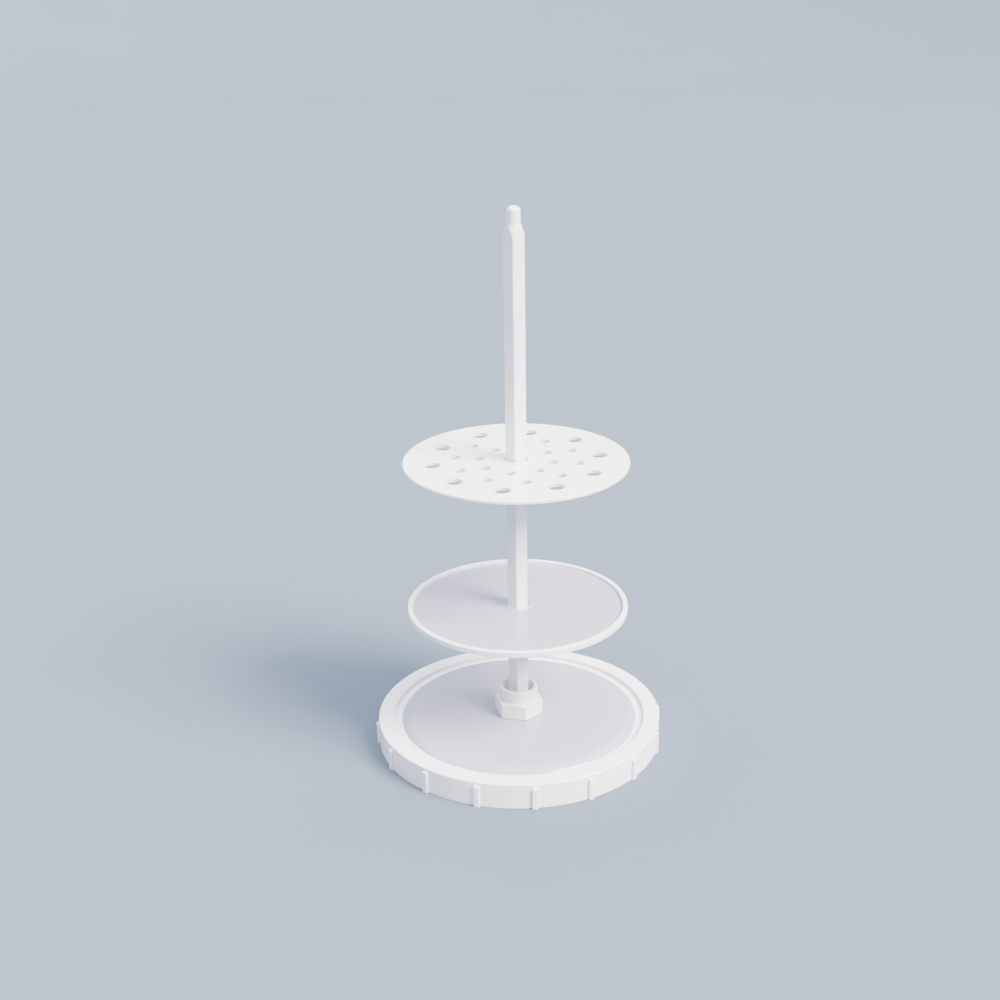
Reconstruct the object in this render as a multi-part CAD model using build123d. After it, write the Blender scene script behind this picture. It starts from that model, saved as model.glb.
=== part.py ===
from build123d import *
import os
from math import asin, cos, sin

# Three-tier vertical pipette stand. Millimetres, +Z up. The origin is the centre of the base's underside,
# on the column's axis, and -Y is the front: one edge of the square column points that way.

# ---- Driving dimensions --------------------------------------------------------------------------
base_radius = 115.0
base_height = 21.0
disc_radius = 88.0
disc_thickness = 3.0
column_width = 12.0
column_corner = 1.1
stand_height = 438.0
upper_disc_top = 241.0
middle_disc_top = 117.2
front_angle = -90.0

# ---- Fits ----------------------------------------------------------------------------------------
running_gap = 0.08
sliding_gap = 0.05
press_gap = 0.05
face_gap = 0.08
loose_gap = 0.4

# ---- Base shell ----------------------------------------------------------------------------------
wall = 2.5
rim_inner_radius = 102.0
rim_edge_round = 1.2
ledge_top = 18.0
ledge_inner_radius = 84.0
skirt_rib_count = 16
skirt_rib_width = 4.5
skirt_rib_proud = 2.0
skirt_rib_top = 17.5
inner_rib_width = 2.0
inner_rib_bottom = 8.0

# ---- Base platform -------------------------------------------------------------------------------
platform_radius = 96.0
platform_top = 22.0
shoulder_radius = 10.0
shoulder_width = 8.0
platform_skirt_radius = 83.5
platform_skirt_bottom = 10.0
platform_rib_count = 8
boss_radius = 24.0
boss_bore_radius = 20.0
screw_count = 6
screw_circle_radius = 90.0
screw_radius = 1.5
screw_hole_radius = 1.8
screw_depth = 3.0
screw_head_radius = 3.0
screw_head_height = 2.0

# ---- Socket for the column, in the middle of the platform ----------------------------------------
socket_thread_radius = 14.5
socket_top = 31.0
socket_shoulder_radius = 15.3
socket_shoulder_height = 2.5
socket_shank_radius = 12.0
socket_bottom = 6.0
socket_bore_radius = 9.6
lock_washer_thickness = 1.5
lock_washer_radius = 18.5
lock_nut_corner_radius = 18.5
lock_nut_height = 6.0

# ---- Column foot, slip washer and union nut ------------------------------------------------------
foot_plug_radius = 9.5
foot_bottom = 10.0
foot_floor = 2.0
foot_flange_radius = 14.0
foot_flange_height = 2.5
slip_washer_thickness = 1.0
slip_washer_bore_radius = 8.8
union_corner_radius = 20.0
union_hex_height = 12.2
union_height = 23.0
union_collar_radius = 15.5
union_mouth_radius = 12.6
union_chamfer = 1.2
union_turn = 21.0

# ---- Column and its end plug ---------------------------------------------------------------------
column_wall = 2.0
turned_start = 416.0
turned_start_radius = 8.6
neck_start = 425.0
neck_radius = 5.25
neck_dome_height = 2.0
plug_shank_length = 20.0

# ---- Disc mouth, hub and grip, all measured down from a disc's top face --------------------------
mouth_radius = 9.25
mouth_bead_radius = 11.2
mouth_bead_height = 0.8
grip_seat_depth = 1.5
hub_radius = 13.2
hub_depth = 15.0
hub_bore_radius = 11.1
gusset_count = 8
gusset_reach = 18.0
gusset_depth = 6.4
gusset_width = 1.6
grip_cone_start = 15.6
grip_cone_end = 18.6
grip_tail_radius = 9.5
grip_tail_depth = 22.0
grip_slit_top = 5.0
grip_jaw_count = 4
grip_slit_width = 1.2
slip_ring_radius = 13.0
slip_ring_top = 16.0
grip_shoulder_depth = 19.0
grip_nut_radius = 16.0
grip_nut_top = 7.0
grip_nut_bottom = 20.2
grip_nut_bore_radius = 9.9
grip_flute_count = 12
grip_flute_radius = 1.6
grip_nut_round = 0.8

# ---- Upper disc's holes: ring radius, hole radius, how many, turn from the front -----------------
pattern_turn = -4.0
outer_ring = (65.5, 6.5, 10, 0.0)
middle_ring = (48.4, 4.5, 10, 18.0)
inner_ring = (29.0, 4.5, 8, 0.0)

# ---- Middle disc's lip ---------------------------------------------------------------------------
lip_width = 4.0
lip_height = 2.0
disc_edge_round = 0.8

on_bottom = (Align.CENTER, Align.CENTER, Align.MIN)


def rod(radius, low, high):
    """A round bar about the column's axis, from one height to another."""
    return Pos(0, 0, low) * Cylinder(radius, high - low, align=on_bottom)


def ring(outer_radius, inner_radius, low, high):
    """A plain tube about the column's axis."""
    return rod(outer_radius, low, high) - rod(inner_radius, low, high)


def turned(*outline):
    """A body of revolution from (radius, height) corners."""
    profile = Polyline(*[(radius, 0, height) for radius, height in outline], close=True)
    return revolve(make_face(profile), Axis.Z)


def hexagon(corner_radius, low, high, turn):
    """A hexagonal prism with one corner turned from the front by the given angle."""
    outline = RegularPolygon(corner_radius, 6, rotation=front_angle + turn)
    return Pos(0, 0, low) * extrude(outline, high - low)


def square_bar(width, corner, low, high):
    """A square bar with rounded edges, one edge pointing to the front."""
    outline = Rot(0, 0, 45) * RectangleRounded(width, width, corner)
    return Pos(0, 0, low) * extrude(outline, high - low)


def around(count, turn, piece):
    """Copies of a piece that lies along +X, evenly spaced about the axis and counted from the front."""
    step = 360.0 / count
    return [Rot(0, 0, front_angle + turn + step * number) * piece for number in range(count)]


def radial_wall(inner_radius, outer_radius, width, low, high):
    """A straight wall that runs outwards along +X."""
    length = outer_radius - inner_radius
    wall_box = Box(length, width, high - low, align=(Align.MIN, Align.CENTER, Align.MIN))
    return Pos(inner_radius, 0, low) * wall_box


def make_base_body():
    """The ribbed shell: outer skirt, flat rim, inner wall and the ledge that carries the platform."""
    skirt_inner = base_radius - wall
    rim_underside = base_height - wall
    inner_wall = rim_inner_radius + wall
    ledge_underside = ledge_top - wall
    shell = turned(
        (skirt_inner, 0),
        (base_radius, 0),
        (base_radius, base_height),
        (rim_inner_radius, base_height),
        (rim_inner_radius, ledge_top),
        (ledge_inner_radius, ledge_top),
        (ledge_inner_radius, ledge_underside),
        (inner_wall, ledge_underside),
        (inner_wall, rim_underside),
        (skirt_inner, rim_underside),
    )
    rim_edges = shell.edges().filter_by_position(Axis.Z, base_height - face_gap, base_height + face_gap)
    shell = fillet(rim_edges.filter_by(GeomType.CIRCLE), rim_edge_round)
    rib_pitch_half = 180.0 / skirt_rib_count
    outer_rib = radial_wall(
        base_radius - wall / 2, base_radius + skirt_rib_proud, skirt_rib_width, 0, skirt_rib_top
    )
    inner_rib = radial_wall(
        inner_wall - wall / 2, skirt_inner + wall / 2, inner_rib_width, inner_rib_bottom, rim_underside + wall / 2
    )
    shell += around(skirt_rib_count, rib_pitch_half, outer_rib)
    shell += around(skirt_rib_count, rib_pitch_half, inner_rib)
    hole = Pos(screw_circle_radius, 0, 0) * rod(screw_hole_radius, 0, base_height)
    shell -= around(screw_count, 0, hole)
    return shell


def make_base_platform():
    """The raised centre plate: rounded shoulder, locating skirt, radial ribs and the boss for the socket."""
    shoulder_start = platform_radius - shoulder_width
    shoulder_centre = platform_top - shoulder_radius
    arc_angle = asin(shoulder_width / shoulder_radius) / 2
    middle_of_arc = (
        shoulder_start + shoulder_radius * sin(arc_angle),
        0,
        shoulder_centre + shoulder_radius * cos(arc_angle),
    )
    top = Line((0, 0, platform_top), (shoulder_start, 0, platform_top))
    shoulder = ThreePointArc(top @ 1, middle_of_arc, (platform_radius, 0, ledge_top))
    underside = Line(shoulder @ 1, (0, 0, ledge_top))
    axis_line = Line(underside @ 1, top @ 0)
    plate = revolve(make_face(top + shoulder + underside + axis_line), Axis.Z)
    plate += ring(platform_skirt_radius, platform_skirt_radius - wall, platform_skirt_bottom, ledge_top)
    plate += ring(boss_radius, boss_bore_radius, platform_skirt_bottom, ledge_top)
    rib = radial_wall(
        boss_radius - wall / 2,
        platform_skirt_radius - wall / 2,
        inner_rib_width,
        platform_skirt_bottom,
        ledge_top + wall / 2,
    )
    plate += around(platform_rib_count, 0, rib)
    plate -= rod(socket_shank_radius + press_gap, 0, platform_top)
    pilot = Pos(screw_circle_radius, 0, 0) * rod(screw_radius + press_gap, ledge_top, ledge_top + screw_depth)
    plate -= around(screw_count, 0, pilot)
    return plate


def make_platform_screws():
    """The screws that hold the platform to the shell's ledge, driven from below."""
    head_top = ledge_top - wall
    head = rod(screw_head_radius, head_top - screw_head_height, head_top)
    shank = rod(screw_radius, head_top, ledge_top + screw_depth - face_gap)
    screw = Pos(screw_circle_radius, 0, 0) * (head + shank)
    return around(screw_count, 0, screw)


def make_column_socket():
    """The threaded socket that stands in the platform and takes the foot of the column."""
    shoulder_top = platform_top + socket_shoulder_height
    body = rod(socket_shank_radius, socket_bottom, platform_top)
    body += rod(socket_shoulder_radius, platform_top, shoulder_top)
    body += rod(socket_thread_radius, shoulder_top, socket_top)
    return body - rod(socket_bore_radius, 0, socket_top)


def make_lock_washer():
    """The washer between the platform's underside and the lock nut."""
    low = ledge_top - lock_washer_thickness
    return ring(lock_washer_radius, socket_shank_radius + running_gap, low, ledge_top)


def make_lock_nut():
    """The hexagonal nut under the platform."""
    high = ledge_top - lock_washer_thickness
    low = high - lock_nut_height
    return hexagon(lock_nut_corner_radius, low, high, 0) - rod(socket_shank_radius + running_gap, low, high)


def make_column_foot():
    """The round foot pressed on the column: a plug for the socket and a flange for the nut to hold down."""
    foot = rod(foot_plug_radius, foot_bottom, socket_top)
    foot += rod(foot_flange_radius, socket_top, socket_top + foot_flange_height)
    bore_width = column_width + 2 * press_gap
    bore_low = foot_bottom + foot_floor
    return foot - square_bar(bore_width, column_corner, bore_low, socket_top + foot_flange_height)


def make_column():
    """The square tube that carries both discs."""
    low = foot_bottom + foot_floor
    inner_width = column_width - 2 * column_wall
    outer = square_bar(column_width, column_corner, low, turned_start)
    return outer - square_bar(inner_width, column_corner / 2, low, turned_start)


def make_tip_plug():
    """The solid end of the column: a square shank in the tube, a turned shoulder and a round neck."""
    dome_start = stand_height - neck_dome_height
    blank = square_bar(column_width, column_corner, turned_start, stand_height)
    shape = turned(
        (0, turned_start),
        (turned_start_radius, turned_start),
        (neck_radius, neck_start),
        (neck_radius, dome_start),
        (neck_radius - neck_dome_height / 2, stand_height - neck_dome_height / 4),
        (neck_radius / 2, stand_height),
        (0, stand_height),
    )
    shank_width = column_width - 2 * column_wall - 2 * press_gap
    shank = square_bar(shank_width, column_corner / 2, turned_start - plug_shank_length, turned_start)
    return (blank & shape) + shank


def make_slip_washer():
    """The thin washer that keeps the turning nut from twisting the foot's flange."""
    low = socket_top + foot_flange_height
    return ring(foot_flange_radius, slip_washer_bore_radius, low, low + slip_washer_thickness)


def make_union_nut():
    """The nut that clamps the column's foot: a hexagon below, and a round collar open around the column."""
    low = platform_top + loose_gap
    hex_top = low + union_hex_height
    high = low + union_height
    corner_cut = union_corner_radius - union_chamfer
    blank = hexagon(union_corner_radius, low, hex_top, union_turn)
    blank &= turned(
        (0, low),
        (corner_cut, low),
        (union_corner_radius, low + union_chamfer / 2),
        (union_corner_radius, hex_top - union_chamfer / 2),
        (corner_cut, hex_top),
        (0, hex_top),
    )
    collar = rod(union_collar_radius, hex_top, high)
    collar_edge = collar.edges().group_by(Axis.Z)[-1]
    blank += chamfer(collar_edge, union_chamfer / 2)
    shoulder_low = socket_top + foot_flange_height + slip_washer_thickness + face_gap
    thread_low = platform_top + socket_shoulder_height
    blank -= rod(socket_shoulder_radius + loose_gap, low, thread_low + loose_gap)
    blank -= rod(socket_thread_radius + running_gap, low, shoulder_low)
    return blank - rod(union_mouth_radius, low, high)


def make_hub(top):
    """What both discs share: the mouth's bead, and the hub and its gussets under the plate."""
    underside = top - disc_thickness
    hub = rod(hub_radius, top - hub_depth, top)
    hub += rod(mouth_bead_radius, top, top + mouth_bead_height)
    gusset = radial_wall(hub_radius - wall / 2, gusset_reach, gusset_width, top - gusset_depth, underside)
    slope = extrude(
        Plane.XZ * make_face(Polyline(
            (hub_radius, top - gusset_depth),
            (gusset_reach, top - gusset_depth),
            (gusset_reach, underside),
            close=True,
        )),
        gusset_width,
        both=True,
    )
    hub += around(gusset_count, 180.0 / gusset_count, gusset - slope)
    return hub


def cut_mouth(disc, top):
    """Opens the disc for the column, with the wider bore below that holds the grip."""
    disc -= rod(mouth_radius, top - hub_depth, top + mouth_bead_height)
    return disc - rod(hub_bore_radius, top - hub_depth, top - grip_seat_depth)


def make_upper_disc():
    """The perforated disc that the pipettes hang in."""
    top = upper_disc_top
    plate = rod(disc_radius, top - disc_thickness, top)
    plate = fillet(plate.edges().filter_by(GeomType.CIRCLE), disc_edge_round)
    for ring_radius, hole_radius, count, turn in (outer_ring, middle_ring, inner_ring):
        hole = Pos(ring_radius, 0, 0) * rod(hole_radius, top - disc_thickness, top)
        plate -= around(count, pattern_turn + turn, hole)
    return cut_mouth(plate + make_hub(top), top)


def make_middle_disc():
    """The plain disc with a lip, on which the pipette tips rest."""
    top = middle_disc_top
    plate = rod(disc_radius, top - disc_thickness, top + lip_height)
    plate = fillet(plate.edges().filter_by(GeomType.CIRCLE), disc_edge_round)
    plate -= rod(disc_radius - lip_width, top, top + lip_height)
    return cut_mouth(plate + make_hub(top), top)


def make_grip(top):
    """The split square collet inside a hub, which holds the disc on the column."""
    head_radius = hub_bore_radius - press_gap
    body = turned(
        (0, top - grip_seat_depth - press_gap),
        (head_radius, top - grip_seat_depth - press_gap),
        (head_radius, top - grip_cone_start),
        (grip_tail_radius, top - grip_cone_end),
        (grip_tail_radius, top - grip_tail_depth),
        (0, top - grip_tail_depth),
    )
    bore_width = column_width + 2 * sliding_gap
    body -= square_bar(bore_width, column_corner, top - grip_tail_depth, top)
    slit = radial_wall(0, hub_bore_radius, grip_slit_width, top - grip_tail_depth, top - grip_slit_top)
    return body - around(grip_jaw_count, 0, slit)


def make_slip_ring(top):
    """The ring between the grip nut and the collet: its inner cone squeezes the jaws."""
    cone_drop = grip_cone_end - grip_cone_start
    cone_narrowing = hub_bore_radius - press_gap - grip_tail_radius
    high = top - slip_ring_top
    low = top - grip_cone_end
    high_bore = grip_tail_radius + cone_narrowing * (grip_cone_end - slip_ring_top) / cone_drop + 2 * face_gap
    low_bore = grip_tail_radius + 2 * face_gap
    return turned((low_bore, low), (slip_ring_radius, low), (slip_ring_radius, high), (high_bore, high))


def make_grip_nut(top):
    """The fluted ring nut that is turned by hand to hold or free a disc."""
    low = top - grip_nut_bottom
    high = top - grip_nut_top
    nut = rod(grip_nut_radius, low, high)
    flute = Pos(grip_nut_radius + grip_flute_radius / 2, 0, 0) * rod(grip_flute_radius, low, high)
    nut = fillet(nut.edges().filter_by(GeomType.CIRCLE), grip_nut_round)
    nut -= around(grip_flute_count, 0, flute)
    nut -= rod(grip_nut_bore_radius, low, high)
    return nut - rod(hub_radius + running_gap, top - grip_shoulder_depth, high)


def main():
    """Makes every piece and writes one file for each."""
    os.makedirs("parts", exist_ok=True)
    pieces = {
        "base_body": make_base_body(),
        "base_platform": make_base_platform(),
        "platform_screws": Compound(make_platform_screws()),
        "column_socket": make_column_socket(),
        "socket_lock_washer": make_lock_washer(),
        "socket_lock_nut": make_lock_nut(),
        "column_foot": make_column_foot(),
        "column": make_column(),
        "column_tip_plug": make_tip_plug(),
        "union_slip_washer": make_slip_washer(),
        "union_nut": make_union_nut(),
        "upper_disc": make_upper_disc(),
        "middle_disc": make_middle_disc(),
    }
    for tier, top in (("upper", upper_disc_top), ("middle", middle_disc_top)):
        pieces[tier + "_grip"] = make_grip(top)
        pieces[tier + "_slip_ring"] = make_slip_ring(top)
        pieces[tier + "_grip_nut"] = make_grip_nut(top)
    for name, piece in pieces.items():
        export_step(piece, "parts/" + name + ".step")


main()
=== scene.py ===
import logging
import math
from dataclasses import dataclass, field
from enum import Enum
from typing import Any, Iterable, Sequence

import bmesh
import bpy
from bmesh.types import BMEdge, BMesh, BMFace, BMVert
from bpy.types import Material, Node, NodeSocket, Object, World
from mathutils import Matrix, Vector


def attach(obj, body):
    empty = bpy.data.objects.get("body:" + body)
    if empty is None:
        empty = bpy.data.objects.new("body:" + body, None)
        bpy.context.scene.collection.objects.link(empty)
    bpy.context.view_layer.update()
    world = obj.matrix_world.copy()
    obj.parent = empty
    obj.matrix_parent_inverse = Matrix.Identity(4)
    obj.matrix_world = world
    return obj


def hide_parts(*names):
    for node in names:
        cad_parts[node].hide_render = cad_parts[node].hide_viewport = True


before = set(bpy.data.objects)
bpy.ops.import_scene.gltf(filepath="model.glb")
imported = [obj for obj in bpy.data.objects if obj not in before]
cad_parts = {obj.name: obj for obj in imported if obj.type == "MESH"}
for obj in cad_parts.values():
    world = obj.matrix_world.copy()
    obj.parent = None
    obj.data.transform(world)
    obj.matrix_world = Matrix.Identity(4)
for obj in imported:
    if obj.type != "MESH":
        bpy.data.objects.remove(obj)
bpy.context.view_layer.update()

# Three-tier vertical pipette stand. Meshes are made in millimetres about the column's axis, +Z up, with the
# origin at the centre of the base's underside, and are scaled to metres once, when a piece is finished.

log = logging.getLogger("pipette_stand")

MM = 0.001
FRONT = -math.pi / 2
AXIS = Vector((0.0, 0.0, 1.0))
# Vertices this close are one vertex.
MERGE_MM = 1e-4
# How far a rib is sunk into the wall that it stands on, so that both become one solid.
SINK = 1.2
# How far a hexagon's turned blank reaches past its corners before the flats are cut.
HEX_BLANK = 0.6


class Body(Enum):
    """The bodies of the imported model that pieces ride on."""

    BASE = "base"
    COLUMN = "column"
    UNION_NUT = "union_nut"
    UPPER_DISC = "upper_disc"
    UPPER_GRIP_NUT = "upper_grip_nut"
    MIDDLE_DISC = "middle_disc"
    MIDDLE_GRIP_NUT = "middle_grip_nut"


class Slot(Enum):
    """The record's material slots that pieces take their finish from."""

    MOULDED_WHITE = "moulded_white"
    EXTRUDED_WHITE = "extruded_white"
    STAINLESS = "stainless"


class Join(Enum):
    """How one solid is combined with another."""

    ADD = "UNION"
    CUT = "DIFFERENCE"
    KEEP_COMMON = "INTERSECT"


# ---- Colours and nodes ---------------------------------------------------------------------------


def linear(hex_colour: str) -> tuple[float, float, float, float]:
    """Turn an sRGB hex colour into linear RGBA.

    Args:
        hex_colour: Six hex digits, such as "F2F2F0".

    Returns:
        Linear red, green, blue, and an alpha of 1.
    """
    channels = [int(hex_colour[place:place + 2], 16) / 255 for place in (0, 2, 4)]
    red, green, blue = [c / 12.92 if c <= 0.04045 else ((c + 0.055) / 1.055) ** 2.4 for c in channels]
    return red, green, blue, 1.0


def per_metre(size_mm: float) -> float:
    """Return the texture scale that gives features of this size, for Object coordinates in metres."""
    return 1.0 / (size_mm * MM)


def add_node(
    material: Material | World,
    kind: str,
    inputs: dict[str | int, Any] | None = None,
    **settings: Any,
) -> Node:
    """Add one node, with its settings, and fill or link its sockets.

    Args:
        material: The material or world whose tree takes the node.
        kind: The node's type name, without "ShaderNode".
        inputs: Socket name or number, and either a value or an output socket to link.
        **settings: The node's own properties.

    Returns:
        The new node.
    """
    tree = material.node_tree
    node = tree.nodes.new("ShaderNode" + kind)
    for name, value in settings.items():
        setattr(node, name, value)
    for name, value in (inputs or {}).items():
        if isinstance(value, NodeSocket):
            tree.links.new(value, node.inputs[name])
        else:
            node.inputs[name].default_value = value
    return node


# ---- Finishes ------------------------------------------------------------------------------------

# Polypropylene lets light a little way in, which rounds off its edges and greys its shadows.
POLYPROPYLENE = {
    "IOR": 1.49, "Subsurface Weight": 0.12, "Subsurface Radius": (1.0, 1.0, 1.0), "Subsurface Scale": 1.5 * MM}


@dataclass(frozen=True)
class Finish:
    """A real material and the way its surface was made."""

    name: str

    def surface(self, made: Material, place: NodeSocket) -> dict[str, Any]:
        """Add the nodes that are this finish's own.

        Args:
            made: The material that takes the nodes.
            place: Object coordinates.

        Returns:
            What goes into the Principled shader's sockets.
        """
        raise NotImplementedError

    def material(self) -> Material:
        """Make the material.

        Returns:
            A node material around one Principled shader.
        """
        made = bpy.data.materials.new(self.name)
        made.use_nodes = True
        made.node_tree.nodes.clear()
        place = add_node(made, "TexCoord").outputs["Object"]
        shader = add_node(made, "BsdfPrincipled", self.surface(made, place))
        add_node(made, "OutputMaterial", {"Surface": shader.outputs["BSDF"]})
        return made


@dataclass(frozen=True)
class MouldedPolypropylene(Finish):
    """Injection-moulded white polypropylene: a satin skin with soft gloss, as the mould's polish left it.

    The eye sees a cool white that is not quite even, blurred reflections that waver over the skin's slow
    unevenness, and the dull hair-thin scuffs and specks of a stand that is wiped and slid about. Within the
    given radius an upward face is painted grey-lilac, as painted shade from the disc above it, and is also
    made more polished.
    """

    name: str = "moulded_polypropylene"
    colour: str = "F2F2F2"
    shade: str = "E9E9EB"
    # Painted shade: this grey-lilac is laid over upward faces within the radius and stands for the shade of the disc
    # above.
    painted_shade_colour: str = "A6A4B5"
    mark_colour: str = "8E8C90"
    shade_and_polish_radius_mm: float = 0.0
    shade_and_polish_edge_mm: float = 0.6
    panel_polish: float = 0.17
    roughness: float = 0.30
    roughness_waver: float = 0.04
    scuffs: float = 0.10
    scuff_spacing_mm: float = 5.0
    scuff_stretch: float = 0.06
    speck_size_mm: float = 2.4
    speck_strength: float = 0.22
    cloud_size_mm: float = 34.0
    skin_size_mm: float = 7.0
    skin_mm: float = 0.006
    grain_size_mm: float = 0.7
    grain_mm: float = 0.0012

    def painted_shade_and_polish(self, made: Material, place: NodeSocket) -> NodeSocket:
        """Add the mask of the painted shade and the polish.

        Args:
            made: The material that takes the nodes.
            place: Object coordinates.

        Returns:
            1 on upward faces within the radius, where shade is painted and the gloss is raised, and 0 elsewhere.
        """
        flat_place = add_node(made, "Mapping", {"Vector": place, "Scale": (1.0, 1.0, 0.0)})
        reach = add_node(made, "VectorMath", {"Vector": flat_place.outputs["Vector"]}, operation="LENGTH")
        within = add_node(made, "MapRange", {
            "Value": reach.outputs["Value"], "From Min": (self.shade_and_polish_radius_mm - self.shade_and_polish_edge_mm) * MM,
            "From Max": self.shade_and_polish_radius_mm * MM, "To Min": 1.0, "To Max": 0.0})
        facing = add_node(made, "SeparateXYZ", {
            "Vector": add_node(made, "TexCoord").outputs["Normal"]}).outputs["Z"]
        looks_up = add_node(made, "MapRange", {"Value": facing, "From Min": 0.3, "From Max": 0.5})
        return add_node(made, "Math", {0: within.outputs["Result"], 1: looks_up.outputs["Result"]},
                        operation="MULTIPLY").outputs["Value"]

    def surface(self, made: Material, place: NodeSocket) -> dict[str, Any]:
        """Add the clouded white, the painted shade with its polish, the specks and scuffs, and the skin and grain.

        Args:
            made: The material that takes the nodes.
            place: Object coordinates.

        Returns:
            The Principled shader's inputs.
        """
        clouds = add_node(made, "TexNoise", {
            "Vector": place, "Scale": per_metre(self.cloud_size_mm), "Detail": 3.0, "Roughness": 0.55}).outputs["Fac"]
        specks = add_node(made, "TexNoise", {
            "Vector": place, "Scale": per_metre(self.speck_size_mm), "Detail": 4.0, "Roughness": 0.6})
        speck_mask = add_node(made, "MapRange", {
            "Value": specks.outputs["Fac"], "From Min": 0.69, "From Max": 0.76, "To Max": self.speck_strength})
        painted_shade_and_polish = self.painted_shade_and_polish(made, place)
        colour = linear(self.colour)
        # The second layer is painted shade: upward faces within the radius turn grey-lilac.
        for mask, laid_over in ((clouds, self.shade), (painted_shade_and_polish, self.painted_shade_colour),
                                (speck_mask.outputs["Result"], self.mark_colour)):
            colour = add_node(made, "Mix", {"Factor": mask, "A": colour, "B": linear(laid_over)},
                              data_type="RGBA").outputs["Result"]
        drawn_out = add_node(made, "Mapping", {
            "Vector": place, "Rotation": (0.4, 0.2, 0.9), "Scale": (1.0, self.scuff_stretch, 1.0)})
        scuff_lines = add_node(made, "TexNoise", {
            "Vector": drawn_out.outputs["Vector"], "Scale": per_metre(self.scuff_spacing_mm),
            "Detail": 6.0, "Roughness": 0.7, "Distortion": 0.6})
        scuff_mask = add_node(made, "MapRange", {
            "Value": scuff_lines.outputs["Fac"], "From Min": 0.58, "From Max": 0.74, "To Max": self.scuffs})
        waver = add_node(made, "MapRange", {
            "Value": clouds, "From Min": 0.3, "From Max": 0.7,
            "To Min": self.roughness - self.roughness_waver, "To Max": self.roughness + self.roughness_waver})
        scuffed = add_node(made, "Math", {0: waver.outputs["Result"], 1: scuff_mask.outputs["Result"]},
                           operation="ADD")
        gloss = add_node(made, "Math", {0: painted_shade_and_polish, 1: -self.panel_polish, 2: scuffed.outputs["Value"]},
                         operation="MULTIPLY_ADD", use_clamp=True)
        bumps: dict[str, Any] = {}
        for size, depth in ((self.skin_size_mm, self.skin_mm), (self.grain_size_mm, self.grain_mm)):
            texture = add_node(made, "TexNoise", {"Vector": place, "Scale": per_metre(size), "Detail": 2.0})
            bump = add_node(made, "Bump", {
                "Height": texture.outputs["Fac"], "Distance": depth * MM, "Strength": 1.0, **bumps})
            bumps = {"Normal": bump.outputs["Normal"]}
        return {"Base Color": colour, "Roughness": gloss.outputs["Value"], **bumps, **POLYPROPYLENE}


@dataclass(frozen=True)
class PatternedFinish(Finish):
    """A finish with two shades, and one pattern each for its colour, its gloss and its relief.

    Attributes:
        colour: Where the colour's pattern is dark.
        shade: Where it is light.
        roughness: The roughness that the gloss varies about.
        gloss_from: The part of the gloss pattern's range that counts.
        gloss_to: What that adds to the roughness, at either end.
        relief_mm: How deep the relief is.
    """

    colour: str
    shade: str
    roughness: float
    gloss_from: tuple[float, float]
    gloss_to: tuple[float, float]
    relief_mm: float

    def patterned(self, made: Material, tint: NodeSocket, gloss: NodeSocket, relief: NodeSocket) -> dict[str, Any]:
        """Add the nodes that turn the patterns into colour, roughness and bump.

        Args:
            made: The material that takes the nodes.
            tint: The colour's pattern.
            gloss: The gloss's pattern.
            relief: The relief's pattern.

        Returns:
            What goes into the Principled shader's sockets.
        """
        mixed = add_node(made, "Mix", {"Factor": tint, "A": linear(self.colour), "B": linear(self.shade)},
                         data_type="RGBA")
        rough = add_node(made, "MapRange", {
            "Value": gloss, "From Min": self.gloss_from[0], "From Max": self.gloss_from[1],
            "To Min": self.roughness + self.gloss_to[0], "To Max": self.roughness + self.gloss_to[1]})
        bump = add_node(made, "Bump", {"Height": relief, "Distance": self.relief_mm * MM, "Strength": 1.0})
        return {"Base Color": mixed.outputs["Result"], "Roughness": rough.outputs["Result"],
                "Normal": bump.outputs["Normal"]}


@dataclass(frozen=True)
class ExtrudedPolypropylene(PatternedFinish):
    """Extruded white polypropylene: drawn through a die, so the gloss carries faint lines along its length.

    The eye sees highlights that run straight up the bar and are broken into fine upright threads.
    """

    name: str = "extruded_polypropylene"
    colour: str = "F1F0F0"
    shade: str = "E6E5E8"
    roughness: float = 0.30
    gloss_from: tuple[float, float] = (0.3, 0.7)
    gloss_to: tuple[float, float] = (-0.05, 0.06)
    relief_mm: float = 0.004
    line_spacing_mm: float = 0.9
    line_length_mm: float = 160.0

    def surface(self, made: Material, place: NodeSocket) -> dict[str, Any]:
        """Add the die lines, in colour, gloss and relief.

        Args:
            made: The material that takes the nodes.
            place: Object coordinates.

        Returns:
            The Principled shader's inputs.
        """
        along = add_node(made, "Mapping", {
            "Vector": place, "Scale": (1.0, 1.0, self.line_spacing_mm / self.line_length_mm)})
        lines = add_node(made, "TexNoise", {
            "Vector": along.outputs["Vector"], "Scale": per_metre(self.line_spacing_mm), "Detail": 4.0}).outputs["Fac"]
        return {**self.patterned(made, lines, lines, lines), **POLYPROPYLENE}


@dataclass(frozen=True)
class MachinedAcetal(PatternedFinish):
    """Natural acetal, turned on a lathe: denser and creamier than the moulded white, with fine tool rings."""

    name: str = "machined_acetal"
    colour: str = "E9E6DC"
    shade: str = "DCD8CC"
    roughness: float = 0.24
    gloss_from: tuple[float, float] = (0.0, 1.0)
    gloss_to: tuple[float, float] = (0.0, 0.1)
    relief_mm: float = 0.004
    cloud_size_mm: float = 9.0
    tool_mark_mm: float = 0.35

    def surface(self, made: Material, place: NodeSocket) -> dict[str, Any]:
        """Add the cloudy cream and the tool rings, of which a wave texture draws about 20 per unit of scale.

        Args:
            made: The material that takes the nodes.
            place: Object coordinates.

        Returns:
            The Principled shader's inputs.
        """
        rings = add_node(made, "TexWave", {
            "Vector": place, "Scale": per_metre(self.tool_mark_mm) / 20.0, "Distortion": 0.5,
            "Detail": 2.0, "Detail Scale": 1.5}, wave_type="RINGS", rings_direction="Z").outputs["Fac"]
        clouds = add_node(made, "TexNoise", {
            "Vector": place, "Scale": per_metre(self.cloud_size_mm), "Detail": 3.0}).outputs["Fac"]
        return {**self.patterned(made, clouds, clouds, rings), "IOR": 1.48}


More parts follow.
